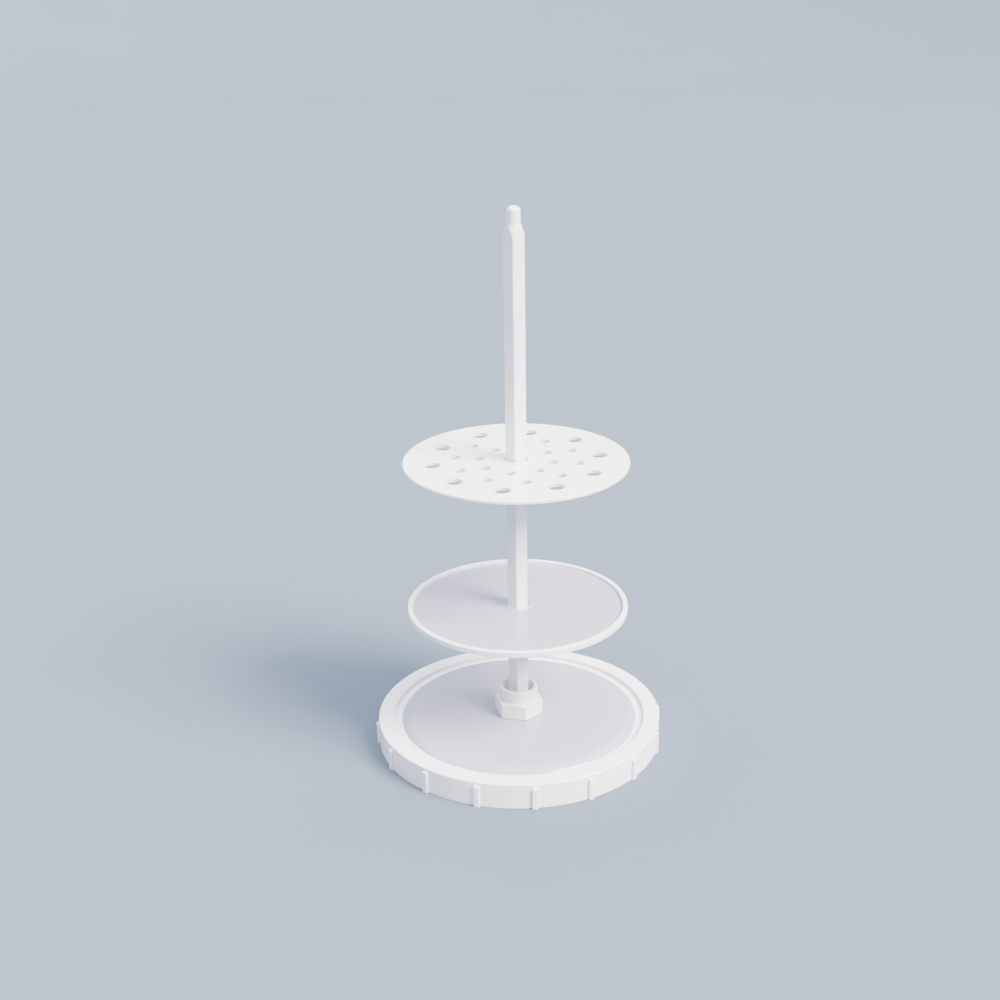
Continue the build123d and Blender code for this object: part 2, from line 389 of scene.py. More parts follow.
@dataclass(frozen=True)
class PressedRubber(PatternedFinish):
    """Black sealing rubber, pressed in a mould: a dull, slightly dusty skin with almost no highlight."""

    name: str = "pressed_rubber"
    colour: str = "2A2B2C"
    shade: str = "4A4A49"
    roughness: float = 0.62
    gloss_from: tuple[float, float] = (0.0, 1.0)
    gloss_to: tuple[float, float] = (0.0, 0.2)
    relief_mm: float = 0.01
    dust_size_mm: float = 6.0
    grain_size_mm: float = 0.4

    def surface(self, made: Material, place: NodeSocket) -> dict[str, Any]:
        """Add the grain and the settled dust.

        Args:
            made: The material that takes the nodes.
            place: Object coordinates.

        Returns:
            The Principled shader's inputs.
        """
        grain = add_node(made, "TexNoise", {
            "Vector": place, "Scale": per_metre(self.grain_size_mm), "Detail": 5.0, "Roughness": 0.65}).outputs["Fac"]
        dusting = add_node(made, "TexNoise", {
            "Vector": place, "Scale": per_metre(self.dust_size_mm), "Detail": 4.0})
        dust = add_node(made, "MapRange", {
            "Value": dusting.outputs["Fac"], "From Min": 0.45, "From Max": 0.8, "To Max": 0.7}).outputs["Result"]
        return {**self.patterned(made, dust, grain, grain), "IOR": 1.52}


@dataclass(frozen=True)
class TumbledStainless(PatternedFinish):
    """Stainless steel screws, cold-headed and tumbled: bright grey metal with softened, patchy gloss."""

    name: str = "tumbled_stainless"
    colour: str = "C4C5C6"
    shade: str = "A9AAAC"
    roughness: float = 0.28
    gloss_from: tuple[float, float] = (0.3, 0.7)
    gloss_to: tuple[float, float] = (-0.06, 0.12)
    relief_mm: float = 0.006
    patch_size_mm: float = 1.6

    def surface(self, made: Material, place: NodeSocket) -> dict[str, Any]:
        """Add the patches, in colour, gloss and relief.

        Args:
            made: The material that takes the nodes.
            place: Object coordinates.

        Returns:
            The Principled shader's inputs.
        """
        patches = add_node(made, "TexNoise", {
            "Vector": place, "Scale": per_metre(self.patch_size_mm), "Detail": 5.0, "Roughness": 0.6}).outputs["Fac"]
        return {**self.patterned(made, patches, patches, patches), "Metallic": 1.0}


@dataclass(frozen=True)
class StudioPaper(Finish):
    """Matt paper sweep under the stand: pale blue-grey, with the faintest mottle and no gloss."""

    name: str = "studio_paper"
    colour: str = "606B78"
    shade: str = "5D6774"
    roughness: float = 0.92
    mottle_size_mm: float = 220.0

    def surface(self, made: Material, place: NodeSocket) -> dict[str, Any]:
        """Add the mottle.

        Args:
            made: The material that takes the nodes.
            place: Object coordinates.

        Returns:
            The Principled shader's inputs.
        """
        mottle = add_node(made, "TexNoise", {
            "Vector": place, "Scale": per_metre(self.mottle_size_mm), "Detail": 4.0})
        tint = add_node(made, "Mix", {
            "Factor": mottle.outputs["Fac"], "A": linear(self.colour), "B": linear(self.shade)},
            data_type="RGBA")
        return {"Base Color": tint.outputs["Result"], "Roughness": self.roughness, "Specular IOR Level": 0.2}


@dataclass
class Palette:
    """Every finish of the stand, made once and shared by its pieces."""

    moulded: Material = field(default_factory=MouldedPolypropylene().material)
    # The platform and tray finishes paint shade onto their upward faces, standing for the shade of the disc above
    # each.
    platform: Material = field(
        default_factory=MouldedPolypropylene("polished_polypropylene_platform_painted_shade", shade_and_polish_radius_mm=100.0).material)
    tray: Material = field(
        default_factory=MouldedPolypropylene("polished_polypropylene_tray_painted_shade", shade_and_polish_radius_mm=84.0).material)
    extruded: Material = field(default_factory=ExtrudedPolypropylene().material)
    acetal: Material = field(default_factory=MachinedAcetal().material)
    rubber: Material = field(default_factory=PressedRubber().material)
    stainless: Material = field(default_factory=TumbledStainless().material)

    def dress_node(self, name: str, finish: Material) -> None:
        """Give a carried-over CAD node its finish.

        Args:
            name: The node's name.
            finish: The material for its slots.
        """
        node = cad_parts[name]
        if not node.material_slots:
            node.data.materials.append(finish)
        for material_slot in node.material_slots:
            material_slot.material = finish
        log.info("%s: CAD node in %s", name, finish.name)


# ---- Mesh making ---------------------------------------------------------------------------------


@dataclass(frozen=True)
class Corner:
    """A corner of a turned outline.

    Attributes:
        radius: Distance from the axis, in millimetres.
        height: Height above the floor, in millimetres.
        rounding: How far back along both sides the corner is rounded.
        segments: How many facets the rounding has.
    """

    radius: float
    height: float
    rounding: float = 0.0
    segments: int = 3


def moved_verts(made: Iterable[Any]) -> list[BMVert]:
    """Return the vertices among an operator's results."""
    return [item for item in made if isinstance(item, BMVert)]


def turned(outline: Sequence[Corner], steps: int, closed: bool = True) -> BMesh:
    """Spin an outline round the column's axis, with the first facet's edge at the front.

    Args:
        outline: The corners, in order.
        steps: How many facets the full turn has.
        closed: Whether the last corner joins the first.

    Returns:
        The turned body, with its normals outwards.
    """
    shape = bmesh.new()
    points = [shape.verts.new((corner.radius, 0.0, corner.height)) for corner in outline]
    for one, other in zip(points, points[1:] + (points[:1] if closed else [])):
        shape.edges.new((one, other))
    for corner, point in zip(outline, points):
        if corner.rounding:
            bmesh.ops.bevel(shape, geom=[point], offset=corner.rounding, offset_type="OFFSET",
                            segments=corner.segments, profile=0.5, affect="VERTICES", material=-1)
    bmesh.ops.rotate(shape, verts=shape.verts, matrix=Matrix.Rotation(FRONT, 3, "Z"))
    bmesh.ops.spin(shape, geom=shape.verts[:] + shape.edges[:], cent=(0, 0, 0), axis=AXIS, angle=math.tau,
                   steps=steps, use_merge=True, use_duplicate=False)
    bmesh.ops.remove_doubles(shape, verts=shape.verts, dist=MERGE_MM)
    bmesh.ops.recalc_face_normals(shape, faces=shape.faces)
    return shape


def bevel_edges(shape: BMesh, edges: Iterable[BMEdge], width: float, segments: int = 2) -> None:
    """Round some edges.

    Args:
        shape: The mesh.
        edges: The edges to round.
        width: How far back from the edge the rounding starts.
        segments: How many facets it has.
    """
    bmesh.ops.bevel(shape, geom=list(edges), offset=width, offset_type="OFFSET", segments=segments, profile=0.5,
                    affect="EDGES", material=-1, clamp_overlap=True)


def repeat_round(shape: BMesh, count: int, turn: float = FRONT) -> None:
    """Copy everything in a mesh round the axis.

    Args:
        shape: The mesh, made along +X.
        count: How many there are in the full circle.
        turn: The first one's angle.
    """
    bmesh.ops.rotate(shape, verts=shape.verts, matrix=Matrix.Rotation(turn, 3, "Z"))
    bmesh.ops.spin(shape, geom=shape.verts[:] + shape.edges[:] + shape.faces[:], cent=(0, 0, 0), axis=AXIS,
                   angle=math.tau * (count - 1) / count, steps=count - 1, use_duplicate=True, use_merge=False)


def upright_wall(corners: Sequence[tuple[float, float]], width: float) -> BMesh:
    """Make a flat rib that stands along +X.

    Args:
        corners: Its (distance from the axis, height) corners.
        width: Its thickness.

    Returns:
        The rib as a closed solid.
    """
    shape = bmesh.new()
    side = shape.faces.new([shape.verts.new((out, -width / 2, up)) for out, up in corners])
    pulled = bmesh.ops.extrude_face_region(shape, geom=[side])["geom"]
    bmesh.ops.translate(shape, verts=moved_verts(pulled), vec=(0, width, 0))
    bmesh.ops.recalc_face_normals(shape, faces=shape.faces)
    return shape


def combine(shape: BMesh, tool: BMesh, how: Join) -> BMesh:
    """Combine two solids exactly, and free both.

    Args:
        shape: The solid to work on.
        tool: The solid that is added to it or taken from it.
        how: Whether the tool is added, cut away, or only the common volume kept.

    Returns:
        The combined solid.
    """
    holders = []
    for mesh_name, source in (("work", shape), ("tool", tool)):
        mesh = bpy.data.meshes.new(mesh_name)
        source.to_mesh(mesh)
        source.free()
        holder = bpy.data.objects.new(mesh_name, mesh)
        bpy.context.scene.collection.objects.link(holder)
        holders.append(holder)
    work, cutter = holders
    modifier = work.modifiers.new("combine", "BOOLEAN")
    modifier.operation = how.value
    modifier.solver = "EXACT"
    modifier.object = cutter
    evaluated = work.evaluated_get(bpy.context.evaluated_depsgraph_get())
    result = bmesh.new()
    result.from_mesh(evaluated.to_mesh())
    evaluated.to_mesh_clear()
    for holder in holders:
        mesh = holder.data
        bpy.data.objects.remove(holder)
        bpy.data.meshes.remove(mesh)
    bmesh.ops.remove_doubles(result, verts=result.verts, dist=MERGE_MM)
    return result


def cut_hexagon(shape: BMesh, corner_radius: float, turn: float, edge_round: float) -> None:
    """Cut six flats on a turned blank, close each cut with one face, and round the upright corners.

    Args:
        shape: The blank.
        corner_radius: The corners' distance from the axis.
        turn: A corner's angle from the front.
        edge_round: How far the upright corners are rounded.
    """
    flat = corner_radius * math.cos(math.pi / 6)
    for number in range(6):
        angle = FRONT + turn + math.pi / 6 + math.tau * number / 6
        normal = Vector((math.cos(angle), math.sin(angle), 0.0))
        cut = bmesh.ops.bisect_plane(
            shape, geom=shape.verts[:] + shape.edges[:] + shape.faces[:], dist=1e-5, plane_co=normal * flat,
            plane_no=normal, clear_outer=True)["geom_cut"]
        bmesh.ops.edgenet_fill(shape, edges=[item for item in cut if isinstance(item, BMEdge)])
    bmesh.ops.remove_doubles(shape, verts=shape.verts, dist=MERGE_MM)
    bmesh.ops.recalc_face_normals(shape, faces=shape.faces)
    uprights = [
        edge for edge in shape.edges
        if edge.calc_face_angle(0.0) > math.radians(50)
        and all(abs(vert.co.xy.length - corner_radius) < 0.02 for vert in edge.verts)
    ]
    bevel_edges(shape, uprights, edge_round, 3)


def to_object(shape: BMesh, name: str, finish: Material) -> Object:
    """Turn a millimetre mesh into an object in metres, and free it.

    Args:
        shape: The mesh.
        name: The object's name.
        finish: Its material.

    Returns:
        The object, linked to the scene, with smooth faces.
    """
    bmesh.ops.scale(shape, vec=(MM, MM, MM), verts=shape.verts)
    for face in shape.faces:
        face.smooth = True
    mesh = bpy.data.meshes.new(name)
    shape.to_mesh(mesh)
    shape.free()
    mesh.materials.append(finish)
    made = bpy.data.objects.new(name, mesh)
    bpy.context.scene.collection.objects.link(made)
    return made


def finish_piece(
    shape: BMesh,
    name: str,
    body: Body,
    finish: Material,
    replaced: str,
    sharp_degrees: float = 32.0,
) -> None:
    """Turn a millimetre mesh into a finished piece that rides on its body.

    Args:
        shape: The mesh, which is freed.
        name: The piece's name.
        body: The body it rides on.
        finish: Its material.
        replaced: The CAD node it stands for.
        sharp_degrees: Edges that turn more than this stay crisp.
    """
    for edge in shape.edges:
        edge.smooth = edge.calc_face_angle(0.0) < math.radians(sharp_degrees)
    open_edges = sum(not edge.is_manifold for edge in shape.edges)
    triangles = sum(len(face.verts) - 2 for face in shape.faces)
    piece = to_object(shape, name, finish)
    normals = piece.modifiers.new("even_normals", "WEIGHTED_NORMAL")
    normals.mode = "FACE_AREA"
    normals.keep_sharp = True
    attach(piece, body.value)
    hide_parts(replaced)
    log.info("%s: %d triangles, %d open edges, on %s", name, triangles, open_edges, body.value)


# ---- Base ----------------------------------------------------------------------------------------


@dataclass
class SubAssembly:
    """A part of the stand. Its sizes are in millimetres, and its heights are above the floor."""

    palette: Palette


@dataclass
class BaseShell(SubAssembly):
    """The ribbed round shell: skirt, flat rim, and the ledge that carries the platform."""

    radius: float = 115.0
    height: float = 21.0
    wall: float = 2.5
    rim_inner_radius: float = 102.0
    rim_outer_round: float = 1.2
    rim_inner_round: float = 0.9
    ledge_top: float = 18.0
    ledge_inner_radius: float = 84.0
    ledge_round: float = 0.4
    inner_round: float = 0.5
    rib_count: int = 16
    rib_proud: float = 2.0
    rib_top: float = 17.5
    rib_columns: int = 2
    rib_round: float = 0.55
    inner_rib_width: float = 2.0
    inner_rib_bottom: float = 8.0
    screw_count: int = 6
    screw_circle_radius: float = 90.0
    screw_hole_radius: float = 1.8
    steps: int = 320

    def outline(self) -> list[Corner]:
        """List the corners of the shell's section.

        Returns:
            The corners, from the skirt's foot round over the rim to the ledge and back.
        """
        inner_skirt = self.radius - self.wall
        inner_wall = self.rim_inner_radius + self.wall
        return [
            Corner(inner_skirt, 0.0, self.inner_round),
            Corner(self.radius, 0.0),
            Corner(self.radius, self.rib_top),
            Corner(self.radius, self.height, self.rim_outer_round, 5),
            Corner(self.rim_inner_radius, self.height, self.rim_inner_round, 4),
            Corner(self.rim_inner_radius, self.ledge_top, self.ledge_round),
            Corner(self.ledge_inner_radius, self.ledge_top, self.ledge_round),
            Corner(self.ledge_inner_radius, self.ledge_top - self.wall, 0.3),
            Corner(inner_wall, self.ledge_top - self.wall, self.inner_round),
            Corner(inner_wall, self.height - self.wall, self.inner_round),
            Corner(inner_skirt, self.height - self.wall, self.inner_round),
        ]

    def raise_ribs(self, shape: BMesh) -> None:
        """Pull the grip ribs out of the skirt and round their edges.

        Args:
            shape: The turned shell.
        """
        pitch = math.tau / self.rib_count
        half_width = math.tau / self.steps * self.rib_columns / 2

        def on_rib(face: BMFace) -> bool:
            """Tell whether a skirt face lies on a rib.

            Args:
                face: The face.

            Returns:
                True when it is on the skirt's outside, below the ribs' top and within a rib's width.
            """
            centre = face.calc_center_median()
            if math.hypot(centre.x, centre.y) < self.radius - 0.2 or centre.z > self.rib_top:
                return False
            turn = (math.atan2(centre.y, centre.x) - FRONT - pitch / 2) % pitch
            return min(turn, pitch - turn) < half_width

        footprint = [face for face in shape.faces if on_rib(face)]
        pulled = bmesh.ops.extrude_face_region(shape, geom=footprint)["geom"]
        bmesh.ops.delete(shape, geom=footprint, context="FACES")
        proud = 1.0 + self.rib_proud / self.radius
        for vert in set(moved_verts(pulled)):
            vert.co.xy = vert.co.xy * proud
        sharp = [
            edge for edge in shape.edges
            if edge.calc_face_angle(0.0) > math.radians(40)
            and all(vert.co.xy.length > self.radius - 0.5 and vert.co.z < self.rib_top + 0.1 for vert in edge.verts)
        ]
        bevel_edges(shape, sharp, self.rib_round)

    def build(self) -> None:
        """Turn the shell, raise its grip ribs, add the inner ribs and drill the screw holes."""
        shape = turned(self.outline(), self.steps)
        self.raise_ribs(shape)
        inside = self.rim_inner_radius + self.wall - SINK
        outside = self.radius - self.wall + SINK
        roof = self.height - self.wall / 2
        stiffeners = upright_wall([(inside, self.inner_rib_bottom), (outside, self.inner_rib_bottom),
                                   (outside, roof), (inside, roof)], self.inner_rib_width)
        repeat_round(stiffeners, self.rib_count, FRONT + math.pi / self.rib_count)
        shape = combine(shape, stiffeners, Join.ADD)
        drill = bmesh.new()
        bmesh.ops.create_cone(drill, cap_ends=True, segments=24, radius1=self.screw_hole_radius,
                              radius2=self.screw_hole_radius, depth=self.height,
                              matrix=Matrix.Translation((self.screw_circle_radius, 0, self.height / 2)))
        repeat_round(drill, self.screw_count)
        shape = combine(shape, drill, Join.CUT)
        finish_piece(shape, "base_shell", Body.BASE, self.palette.moulded, "base_body")


@dataclass
class BasePlatform(SubAssembly):
    """The raised centre of the base, with its rounded shoulder, and the ribs and rings under it."""

    radius: float = 96.0
    top: float = 22.0
    underside: float = 18.0
    shoulder_corner: float = 93.0
    shoulder_round: float = 4.99
    skirt_radius: float = 83.5
    skirt_wall: float = 2.5
    skirt_bottom: float = 10.0
    boss_radius: float = 24.0
    boss_bore_radius: float = 20.0
    hole_radius: float = 12.05
    edge_round: float = 0.4
    fillet: float = 0.6
    rib_count: int = 8
    rib_width: float = 2.0
    steps: int = 192

    def build(self) -> None:
        """Turn the platform and add the ribs under it."""
        skirt_inner = self.skirt_radius - self.skirt_wall
        shape = turned([
            Corner(self.hole_radius, self.top, 0.3),
            Corner(self.shoulder_corner, self.top, self.shoulder_round, 10),
            Corner(self.radius, self.underside),
            Corner(self.skirt_radius, self.underside, self.edge_round),
            Corner(self.skirt_radius, self.skirt_bottom, self.edge_round),
            Corner(skirt_inner, self.skirt_bottom, self.edge_round),
            Corner(skirt_inner, self.underside, self.fillet),
            Corner(self.boss_radius, self.underside, self.fillet),
            Corner(self.boss_radius, self.skirt_bottom, self.edge_round),
            Corner(self.boss_bore_radius, self.skirt_bottom, self.edge_round),
            Corner(self.boss_bore_radius, self.underside, self.fillet),
            Corner(self.hole_radius, self.underside),
        ], self.steps)
        inside = self.boss_radius - SINK
        outside = skirt_inner + SINK
        roof = self.underside + SINK
        ribs = upright_wall([(inside, self.skirt_bottom), (outside, self.skirt_bottom), (outside, roof),
                             (inside, roof)], self.rib_width)
        repeat_round(ribs, self.rib_count)
        shape = combine(shape, ribs, Join.ADD)
        finish_piece(shape, "base_platform_plate", Body.BASE, self.palette.platform,
                     "base_platform")


@dataclass
class PlatformScrews(SubAssembly):
    """Six pan-head screws with a cross recess, driven up through the ledge."""

    count: int = 6
    circle_radius: float = 90.0
    head_radius: float = 3.0
    head_top: float = 15.5
    head_height: float = 2.0
    head_round: float = 1.2
    shank_radius: float = 1.5
    point_length: float = 1.2
    point_radius: float = 0.3
    tip: float = 20.92
    recess_width: float = 0.8
    recess_length: float = 3.4
    recess_depth: float = 1.1
    steps: int = 32

    def build(self) -> None:
        """Turn one screw, cut its recess, and repeat it round the ledge."""
        low = self.head_top - self.head_height
        shape = turned([
            Corner(0.0, low),
            Corner(self.head_radius, low, self.head_round, 5),
            Corner(self.head_radius, self.head_top, 0.15, 2),
            Corner(self.shank_radius, self.head_top),
            Corner(self.shank_radius, self.tip - self.point_length),
            Corner(self.point_radius, self.tip),
            Corner(0.0, self.tip),
        ], self.steps, closed=False)
        for turn in (0.0, math.pi / 2):
            slot = bmesh.new()
            bmesh.ops.create_cube(slot, size=1.0, matrix=Matrix.Rotation(turn, 4, "Z") @ Matrix.Diagonal(
                (self.recess_length, self.recess_width, 2 * self.recess_depth, 1.0)))
            bmesh.ops.translate(slot, verts=slot.verts, vec=(0, 0, low))
            shape = combine(shape, slot, Join.CUT)
        bmesh.ops.translate(shape, verts=shape.verts, vec=(self.circle_radius, 0, 0))
        repeat_round(shape, self.count)
        finish_piece(shape, "platform_screw_set", Body.BASE, self.palette.stainless,
                     "platform_screws")


@dataclass
class SocketFittings(SubAssembly):
    """The threaded socket in the platform, and the washer and nut that hold it."""

    bore: float = 9.6
    shank_radius: float = 12.0
    bottom: float = 6.0
    platform_top: float = 22.0
    shoulder_radius: float = 15.3
    shoulder_top: float = 24.5
    core_radius: float = 13.4
    top: float = 31.0
    thread_start: float = 24.9
    thread_crest_radius: float = 14.46
    thread_foot: float = 1.7
    thread_crest: tuple[float, float] = (0.65, 1.05)
    thread_pitch: float = 3.0
    thread_turns: float = 1.5
    nut_corner_radius: float = 18.5
    nut_face_radius: float = 17.0
    nut_chamfer: float = 1.1
    nut_bore_radius: float = 12.08
    nut_bottom: float = 10.5
    nut_top: float = 16.5
    nut_edge_round: float = 0.4
    steps: int = 144

    def thread(self) -> BMesh:
        """Sweep the thread's ridge up round the core.

        Returns:
            The ridge as a closed solid.
        """
        root = self.core_radius - 0.5
        crest_low, crest_high = self.thread_crest
        section = [(root, 0.0), (root, self.thread_foot), (self.thread_crest_radius, crest_high),
                   (self.thread_crest_radius, crest_low)]
        shape = bmesh.new()
        face = shape.faces.new([shape.verts.new((out, 0.0, self.thread_start + up)) for out, up in section])
        bmesh.ops.spin(shape, geom=[*face.verts, *face.edges, face], cent=(0, 0, 0), axis=AXIS,
                       dvec=(0, 0, self.thread_pitch / self.steps), angle=math.tau * self.thread_turns,
                       steps=int(self.thread_turns * self.steps), use_merge=False, use_duplicate=False)
        bmesh.ops.remove_doubles(shape, verts=shape.verts, dist=MERGE_MM)
        bmesh.ops.recalc_face_normals(shape, faces=shape.faces)
        return shape

    def build_socket(self) -> None:
        """Build the socket: shank, shoulder and threaded neck."""
        shape = turned([
            Corner(self.bore, self.bottom, 0.5, 2),
            Corner(self.shank_radius, self.bottom, 0.6, 2),
            Corner(self.shank_radius, self.platform_top),
            Corner(self.shoulder_radius, self.platform_top),
            Corner(self.shoulder_radius, self.shoulder_top, 0.4, 3),
            Corner(self.core_radius, self.shoulder_top, 0.3, 2),
            Corner(self.core_radius, self.top, 0.7, 2),
            Corner(self.bore, self.top, 0.5, 2),
        ], self.steps)
        shape = combine(shape, self.thread(), Join.ADD)
        finish_piece(shape, "threaded_socket", Body.BASE, self.palette.moulded, "column_socket")

    def build_nut(self) -> None:
        """Build the lock nut: a hexagon, chamfered above and below."""
        widest = self.nut_corner_radius + HEX_BLANK
        shape = turned([
            Corner(self.nut_bore_radius, self.nut_bottom, self.nut_edge_round, 2),
            Corner(self.nut_face_radius, self.nut_bottom),
            Corner(widest, self.nut_bottom + self.nut_chamfer),
            Corner(widest, self.nut_top - self.nut_chamfer),
            Corner(self.nut_face_radius, self.nut_top),
            Corner(self.nut_bore_radius, self.nut_top, self.nut_edge_round, 2),
        ], self.steps)
        cut_hexagon(shape, self.nut_corner_radius, 0.0, self.nut_edge_round)
        finish_piece(shape, "socket_nut", Body.BASE, self.palette.moulded, "socket_lock_nut")

    def build(self) -> None:
        """Build the socket and its lock nut, and dress the washer."""
        self.build_socket()
        self.build_nut()
        self.palette.dress_node("socket_lock_washer", self.palette.rubber)


@dataclass
class UnionNut(SubAssembly):
    """The nut at the column's foot: a hexagon below, and a round collar open around the column."""

    corner_radius: float = 20.0
    face_radius: float = 18.8
    shoulder_radius: float = 18.1
    low: float = 22.4
    low_chamfer: float = 0.9
    hex_top: float = 34.6
    top_chamfer: float = 1.0
    high: float = 45.4
    collar_radius: float = 15.5
    mouth_radius: float = 12.6
    thread_bore: float = 14.58
    counterbore: float = 15.7
    shoulder: float = 34.58
    counterbore_top: float = 24.9
    corner_round: float = 0.6
    turn_degrees: float = 21.0
    steps: int = 144

    def build(self) -> None:
        """Turn the nut and cut its hexagon."""
        widest = self.corner_radius + HEX_BLANK
        shape = turned([
            Corner(self.counterbore, self.low, 0.3, 2),
            Corner(self.face_radius, self.low, 0.3, 2),
            Corner(widest, self.low + self.low_chamfer),
            Corner(widest, self.hex_top - self.top_chamfer),
            Corner(self.shoulder_radius, self.hex_top, 0.4, 2),
            Corner(self.collar_radius, self.hex_top, 0.5, 3),
            Corner(self.collar_radius, self.high, 0.8, 4),
            Corner(self.mouth_radius, self.high, 0.6, 4),
            Corner(self.mouth_radius, self.shoulder, 0.3, 2),
            Corner(self.thread_bore, self.shoulder, 0.2, 2),
            Corner(self.thread_bore, self.counterbore_top, 0.2, 2),
            Corner(self.counterbore, self.counterbore_top, 0.2, 2),
        ], self.steps)
        cut_hexagon(shape, self.corner_radius, math.radians(self.turn_degrees), self.corner_round)
        finish_piece(shape, "union_nut_body", Body.UNION_NUT, self.palette.moulded, "union_nut")


# ---- Column --------------------------------------------------------------------------------------


@dataclass
class Column(SubAssembly):
    """The square tube with one edge to the front, and the turned plug that closes its top."""

    width: float = 12.0
    corner: float = 1.1
    wall: float = 2.0
    foot: float = 12.0
    tube_top: float = 416.0
    top: float = 438.0
    shoulder_radius: float = 8.6
    neck_start: float = 425.0
    neck_radius: float = 5.25
    neck_round: float = 1.2
    dome: float = 3.9
    shank_depth: float = 20.0
    shank_gap: float = 0.05
    tip_steps: int = 96

    def square_bar(self, width: float, corner: float, low: float, high: float) -> BMesh:
        """Make a square bar with rounded edges, one edge to the front.

        Args:
            width: Across the flats.
            corner: How far the edges are rounded.
            low: Height of its lower end.
            high: Height of its upper end.

        Returns:
            The bar as a closed solid.
        """
        shape = bmesh.new()
        bmesh.ops.create_circle(shape, cap_ends=True, segments=4, radius=width / math.sqrt(2))
        bmesh.ops.translate(shape, verts=shape.verts, vec=(0, 0, low))
        bmesh.ops.bevel(shape, geom=shape.verts[:], offset=corner, offset_type="OFFSET", segments=5, profile=0.5,
                        affect="VERTICES", material=-1)
        raised = bmesh.ops.extrude_face_region(shape, geom=shape.faces[:])["geom"]
        bmesh.ops.translate(shape, verts=moved_verts(raised), vec=(0, 0, high - low))
        bmesh.ops.recalc_face_normals(shape, faces=shape.faces)
        return shape

    def build_tube(self) -> None:
        """Build the square tube."""
        shape = self.square_bar(self.width, self.corner, self.foot, self.tube_top)
        bore = self.square_bar(self.width - 2 * self.wall, self.corner / 2, self.foot - 1, self.tube_top + 1)
        shape = combine(shape, bore, Join.CUT)
        finish_piece(shape, "column_tube", Body.COLUMN, self.palette.extruded, "column")

    def build_tip(self) -> None:
        """Build the plug: a square end that is turned down to a round neck with a domed end."""
        cone = turned([
            Corner(0.0, self.tube_top - 1),
            Corner(self.shoulder_radius + 0.4, self.tube_top - 1),
            Corner(self.shoulder_radius, self.tube_top),
            Corner(self.neck_radius, self.neck_start, self.neck_round, 4),
            Corner(self.neck_radius, self.top, self.dome, 9),
            Corner(0.0, self.top),
        ], self.tip_steps, closed=False)
        blank = self.square_bar(self.width, self.corner, self.tube_top, self.top + 1)
        shape = combine(blank, cone, Join.KEEP_COMMON)
        shank = self.square_bar(self.width - 2 * self.wall - 2 * self.shank_gap, self.corner / 2,
                                self.tube_top - self.shank_depth, self.tube_top + 2)
        shape = combine(shape, shank, Join.ADD)
        finish_piece(shape, "column_tip", Body.COLUMN, self.palette.moulded, "column_tip_plug",
                     sharp_degrees=24.0)

    def build(self) -> None:
        """Build the column, and dress its foot and washer."""
        self.build_tube()
        self.build_tip()
        self.palette.dress_node("column_foot", self.palette.moulded)
        self.palette.dress_node("union_slip_washer", self.palette.acetal)


# ---- Discs ---------------------------------------------------------------------------------------


@dataclass(frozen=True)
class HoleRing:
    """A ring of equal round holes.

    Attributes:
        ring_radius: Radius of the circle that the holes' centres lie on.
        hole_radius: Radius of each hole.
        count: How many holes there are.
        turn_degrees: The first hole's turn from the front.
    """

    ring_radius: float
    hole_radius: float
    count: int
    turn_degrees: float


@dataclass
class Disc(SubAssembly):
    """What both discs share: the plate's edge, the mouth with its bead, the hub and its gussets."""

    top: float
    radius: float = 88.0
    thickness: float = 3.0
    edge_round: float = 0.8
    mouth_radius: float = 9.25
    bead_radius: float = 11.2
    bead_height: float = 0.8
    bead_round: float = 0.35
    grip_seat: float = 1.5
    hub_radius: float = 13.2
    hub_depth: float = 15.0
    hub_bore: float = 11.1
    hub_fillet: float = 0.8
    gusset_count: int = 8
    gusset_reach: float = 18.0
    gusset_depth: float = 6.4
    gusset_width: float = 1.6
    gusset_root: float = 1.0

    def hub_outline(self) -> list[Corner]:
        """List the corners of the hub's section.

        Returns:
            The corners, from the plate's top in over the bead, down the bore and up the hub's outside.
        """
        top = self.top
        return [
            Corner(self.bead_radius, top, self.bead_round),
            Corner(self.bead_radius, top + self.bead_height, self.bead_round),
            Corner(self.mouth_radius, top + self.bead_height, self.bead_round),
            Corner(self.mouth_radius, top - self.grip_seat, 0.2, 2),
            Corner(self.hub_bore, top - self.grip_seat, 0.2, 2),
            Corner(self.hub_bore, top - self.hub_depth, 0.3, 2),
            Corner(self.hub_radius, top - self.hub_depth, 0.5),
            Corner(self.hub_radius, top - self.thickness, self.hub_fillet, 4),
        ]

    def add_gussets(self, shape: BMesh) -> BMesh:
        """Add the triangular gussets between hub and plate.

        Args:
            shape: The disc.

        Returns:
            The disc with its gussets.
        """
        underside = self.top - self.thickness
        root = underside + self.gusset_root
        low = self.top - self.gusset_depth
        gussets = upright_wall([(self.hub_radius - SINK, low), (self.hub_radius, low), (self.gusset_reach, underside),
                                (self.gusset_reach, root), (self.hub_radius - SINK, root)], self.gusset_width)
        repeat_round(gussets, self.gusset_count, FRONT + math.pi / self.gusset_count)
        return combine(shape, gussets, Join.ADD)


